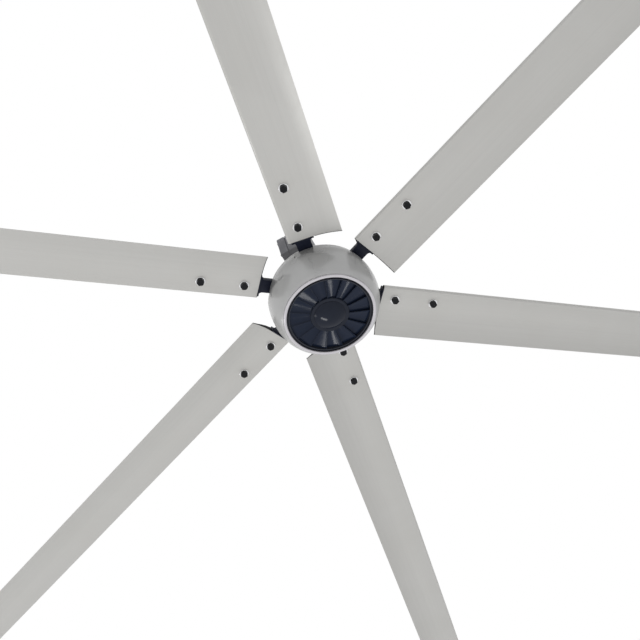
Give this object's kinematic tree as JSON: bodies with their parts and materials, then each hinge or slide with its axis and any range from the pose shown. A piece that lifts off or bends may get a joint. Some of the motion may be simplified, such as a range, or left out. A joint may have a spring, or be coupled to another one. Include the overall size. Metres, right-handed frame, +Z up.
{
  "type": "high volume low speed ceiling fan",
  "caption": "Large ceiling fan with long cambered aluminium blades bolted to flat steel struts on a direct drive hub, hung from a beam by a round drop tube with a controller housing.",
  "frame": {"origin": "centre of the mounting plate's top face, which bolts under a beam", "axes": "+Z up, out of the plate's top face and along the rotor's axis; +X along the plate's length; the controller housing's length is along X and its cover faces -Y"},
  "size_m": [3.6244, 3.4896, 0.9273],
  "materials": {
    "hanger_grey": "satin powder coat",
    "controller_grey": "matt powder coat",
    "axle_steel": "turned",
    "stator_iron": "varnished laminations",
    "winding_copper": "varnished copper wire",
    "hub_silver": "satin silver paint on a casting",
    "cowl_silver": "satin silver paint",
    "trim_silver": "satin",
    "grille_black": "semi-gloss",
    "dome_black": "gloss",
    "magnet_dark": "plated",
    "bearing_steel": "ground",
    "strut_black": "semi-gloss black",
    "blade_aluminium": "satin anodised",
    "tip_cap_grey": "satin",
    "washer_zinc": "bright zinc",
    "bolt_black": "black oxide"
  },
  "bodies": {
    "hanger": {"mounting_plate": "hanger_grey", "drop_tube": "hanger_grey", "controller_housing": "controller_grey", "controller_cover": "controller_grey", "axle": "axle_steel", "stator_core": "stator_iron", "upper_winding": "winding_copper", "lower_winding": "winding_copper", "axle_nut": "axle_steel"},
    "rotor": {"hub_casting": "hub_silver", "hub_top_cover": "hub_silver", "hub_cowl": "cowl_silver", "trim_ring": "trim_silver", "turbine_grille": "grille_black", "nose_dome": "dome_black", "magnet_ring": "magnet_dark", "upper_bearing": "bearing_steel", "lower_bearing": "bearing_steel", "strut_1": "strut_black", "blade_1": "blade_aluminium", "tip_cap_1": "tip_cap_grey", "inner_washer_1": "washer_zinc", "inner_bolt_1": "bolt_black", "outer_washer_1": "washer_zinc", "outer_bolt_1": "bolt_black", "strut_2": "strut_black", "blade_2": "blade_aluminium", "tip_cap_2": "tip_cap_grey", "inner_washer_2": "washer_zinc", "inner_bolt_2": "bolt_black", "outer_washer_2": "washer_zinc", "outer_bolt_2": "bolt_black", "strut_3": "strut_black", "blade_3": "blade_aluminium", "tip_cap_3": "tip_cap_grey", "inner_washer_3": "washer_zinc", "inner_bolt_3": "bolt_black", "outer_washer_3": "washer_zinc", "outer_bolt_3": "bolt_black", "strut_4": "strut_black", "blade_4": "blade_aluminium", "tip_cap_4": "tip_cap_grey", "inner_washer_4": "washer_zinc", "inner_bolt_4": "bolt_black", "outer_washer_4": "washer_zinc", "outer_bolt_4": "bolt_black", "strut_5": "strut_black", "blade_5": "blade_aluminium", "tip_cap_5": "tip_cap_grey", "inner_washer_5": "washer_zinc", "inner_bolt_5": "bolt_black", "outer_washer_5": "washer_zinc", "outer_bolt_5": "bolt_black", "strut_6": "strut_black", "blade_6": "blade_aluminium", "tip_cap_6": "tip_cap_grey", "inner_washer_6": "washer_zinc", "inner_bolt_6": "bolt_black", "outer_washer_6": "washer_zinc", "outer_bolt_6": "bolt_black"}
  },
  "joints": [
    {"name": "rotor_spin", "type": "hinge", "parent": "hanger", "child": "rotor", "pos_m": [0, 0, -0.8], "axis": [0, 0, 1], "continuous": true}
  ]
}
